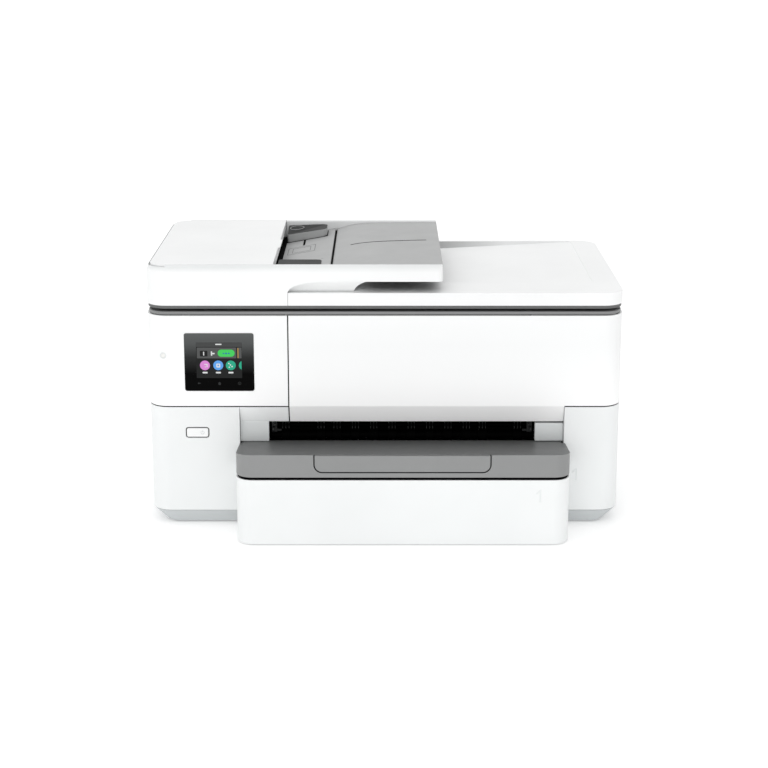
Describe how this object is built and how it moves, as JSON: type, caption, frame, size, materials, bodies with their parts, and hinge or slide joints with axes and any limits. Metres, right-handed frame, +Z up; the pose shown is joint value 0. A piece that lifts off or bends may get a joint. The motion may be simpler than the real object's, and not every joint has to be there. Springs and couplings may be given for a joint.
{
  "type": "inkjet printer",
  "caption": "Wide desktop inkjet printer with flatbed scanner lid, side document feeder, touch panel, output tray and pull-out paper tray.",
  "frame": {"origin": "centre of the footprint, on the surface the printer stands on", "axes": "+Z up, -Y towards the user (trays at the front), +X to the right seen from the front"},
  "size_m": [0.583, 0.402, 0.33],
  "materials": {
    "white_plastic": "fine satin texture",
    "skirt_grey": "satin",
    "light_grey": "satin",
    "tray_grey": "fine grain",
    "feeder_grey": "fine grain",
    "dark_grey": "satin",
    "black_plastic": "satin",
    "panel_gloss": "gloss",
    "foam": "soft",
    "glass": "clear",
    "steel": "bright",
    "rubber": "matt",
    "circuit_board": "solder mask"
  },
  "bodies": {
    "chassis": {"base_pan": "skirt_grey", "lower_left_cover": "white_plastic", "lower_right_cover": "white_plastic", "rear_cover": "light_grey", "upper_left_housing": "white_plastic", "upper_right_cover": "white_plastic", "exit_block_left": "light_grey", "exit_block_right": "light_grey", "panel_glass": "panel_gloss", "lcd_module": "black_plastic", "control_board": "circuit_board", "status_lens": "foam", "scanner_bed_frame": "dark_grey", "scanner_glass": "glass", "scanner_tub": "black_plastic", "scan_guide_rod": "steel", "lid_hinge_left": "dark_grey", "lid_hinge_right": "dark_grey", "print_frame": "steel", "carriage_rod": "steel", "carriage_belt": "rubber", "carriage_motor": "steel", "platen": "black_plastic", "transfer_belt": "rubber", "service_station": "black_plastic", "power_supply": "dark_grey", "main_board": "circuit_board", "power_inlet": "black_plastic", "output_tray": "tray_grey"},
    "rear_access_door": {"rear_access_door": "dark_grey"},
    "front_door": {"front_door": "white_plastic"},
    "power_button": {"power_button": "white_plastic"},
    "scan_bar": {"scan_bar": "black_plastic"},
    "lid": {"lid_rim": "dark_grey", "lid_pad": "foam", "lid_panel": "white_plastic", "adf_housing": "white_plastic", "adf_deck": "feeder_grey"},
    "adf_cover": {"adf_cover": "white_plastic"},
    "feeder_tray": {"feeder_tray": "feeder_grey"},
    "adf_guide_front": {"adf_guide_front": "dark_grey"},
    "adf_guide_rear": {"adf_guide_rear": "dark_grey"},
    "adf_pick_roller": {"adf_pick_roller": "rubber"},
    "carriage": {"carriage": "black_plastic", "cartridge_black": "black_plastic", "cartridge_cyan": "black_plastic", "cartridge_magenta": "black_plastic", "cartridge_yellow": "black_plastic"},
    "drive_pulley": {"drive_pulley": "steel"},
    "idler_pulley": {"idler_pulley": "steel"},
    "feed_roller": {"feed_roller": "rubber"},
    "exit_roller": {"exit_roller": "rubber"},
    "star_wheel_shaft": {"star_wheel_shaft": "black_plastic"},
    "pick_arm": {"pick_arm": "black_plastic"},
    "input_tray": {"input_tray_tub": "dark_grey", "input_tray_front": "white_plastic"},
    "width_guide_left": {"width_guide_left": "dark_grey"},
    "width_guide_right": {"width_guide_right": "dark_grey"},
    "length_guide": {"length_guide": "dark_grey"},
    "output_extension": {"output_extension": "tray_grey"}
  },
  "joints": [
    {"name": "lid_hinge", "type": "hinge", "parent": "chassis", "child": "lid", "pos_m": [0, 0.1955, 0.2735], "axis": [-1, 0, 0], "range_deg": [0, 75]},
    {"name": "adf_cover_hinge", "type": "hinge", "parent": "lid", "child": "adf_cover", "pos_m": [-0.285, 0.0245, 0.3295], "axis": [0, -1, 0], "range_deg": [0, 80]},
    {"name": "feeder_tray_hinge", "type": "hinge", "parent": "lid", "child": "feeder_tray", "pos_m": [-0.0614, 0.0225, 0.3176], "axis": [0, -1, 0], "range_deg": [0, 50]},
    {"name": "adf_guide_slide", "type": "slide", "parent": "lid", "child": "adf_guide_rear", "axis": [0, 1, 0], "range_m": [-0.04, 0.0095]},
    {"name": "adf_guide_front_slide", "type": "slide", "parent": "lid", "child": "adf_guide_front", "axis": [0, 1, 0], "range_m": [-0.0095, 0.04]},
    {"name": "adf_pick_spin", "type": "hinge", "parent": "lid", "child": "adf_pick_roller", "pos_m": [-0.162, 0.0225, 0.303], "axis": [0, 1, 0], "continuous": true},
    {"name": "front_door_hinge", "type": "hinge", "parent": "chassis", "child": "front_door", "pos_m": [0.086, -0.122, 0.133], "axis": [1, 0, 0], "range_deg": [0, 85]},
    {"name": "rear_access_hinge", "type": "hinge", "parent": "chassis", "child": "rear_access_door", "pos_m": [0.02, 0.1997, 0.063], "axis": [-1, 0, 0], "range_deg": [0, 80]},
    {"name": "power_button_press", "type": "slide", "parent": "chassis", "child": "power_button", "axis": [0, 1, 0], "range_m": [0, 0.0015], "stiffness_N_per_m": 600},
    {"name": "scan_bar_slide", "type": "slide", "parent": "chassis", "child": "scan_bar", "axis": [1, 0, 0], "range_m": [0, 0.36]},
    {"name": "carriage_slide", "type": "slide", "parent": "chassis", "child": "carriage", "axis": [1, 0, 0], "range_m": [-0.09, 0.26]},
    {"name": "drive_pulley_spin", "type": "hinge", "parent": "chassis", "child": "drive_pulley", "pos_m": [-0.228, 0.052, 0.179], "axis": [0, 0, 1], "continuous": true},
    {"name": "idler_pulley_spin", "type": "hinge", "parent": "chassis", "child": "idler_pulley", "pos_m": [0.272, 0.052, 0.179], "axis": [0, 0, 1], "continuous": true},
    {"name": "feed_roller_spin", "type": "hinge", "parent": "chassis", "child": "feed_roller", "pos_m": [0.021, 0.025, 0.106], "axis": [1, 0, 0], "continuous": true},
    {"name": "exit_roller_spin", "type": "hinge", "parent": "chassis", "child": "exit_roller", "pos_m": [0.021, -0.093, 0.106], "axis": [1, 0, 0], "continuous": true},
    {"name": "star_wheel_spin", "type": "hinge", "parent": "chassis", "child": "star_wheel_shaft", "pos_m": [0.021, -0.093, 0.119], "axis": [1, 0, 0], "continuous": true},
    {"name": "pick_arm_hinge", "type": "hinge", "parent": "chassis", "child": "pick_arm", "pos_m": [0.02, 0.072, 0.078], "axis": [1, 0, 0], "range_deg": [-20, 0]},
    {"name": "input_tray_slide", "type": "slide", "parent": "chassis", "child": "input_tray", "axis": [0, -1, 0], "range_m": [0, 0.25]},
    {"name": "width_guide_slide", "type": "slide", "parent": "input_tray", "child": "width_guide_left", "axis": [1, 0, 0], "range_m": [0, 0.095]},
    {"name": "width_guide_right_slide", "type": "slide", "parent": "input_tray", "child": "width_guide_right", "axis": [1, 0, 0], "range_m": [-0.095, 0]},
    {"name": "length_guide_slide", "type": "slide", "parent": "input_tray", "child": "length_guide", "axis": [0, 1, 0], "range_m": [0, 0.12]},
    {"name": "output_extension_slide", "type": "slide", "parent": "chassis", "child": "output_extension", "axis": [0, -1, 0], "range_m": [0, 0.075]}
  ],
  "couplings": [
    {"joint": "adf_guide_front_slide", "follows": "adf_guide_slide", "ratio": -1},
    {"joint": "width_guide_right_slide", "follows": "width_guide_slide", "ratio": -1},
    {"joint": "drive_pulley_spin", "follows": "carriage_slide", "rad_per_m": 142.86},
    {"joint": "idler_pulley_spin", "follows": "carriage_slide", "rad_per_m": 142.86},
    {"joint": "exit_roller_spin", "follows": "feed_roller_spin", "ratio": 1},
    {"joint": "star_wheel_spin", "follows": "feed_roller_spin", "ratio": -1.4}
  ]
}
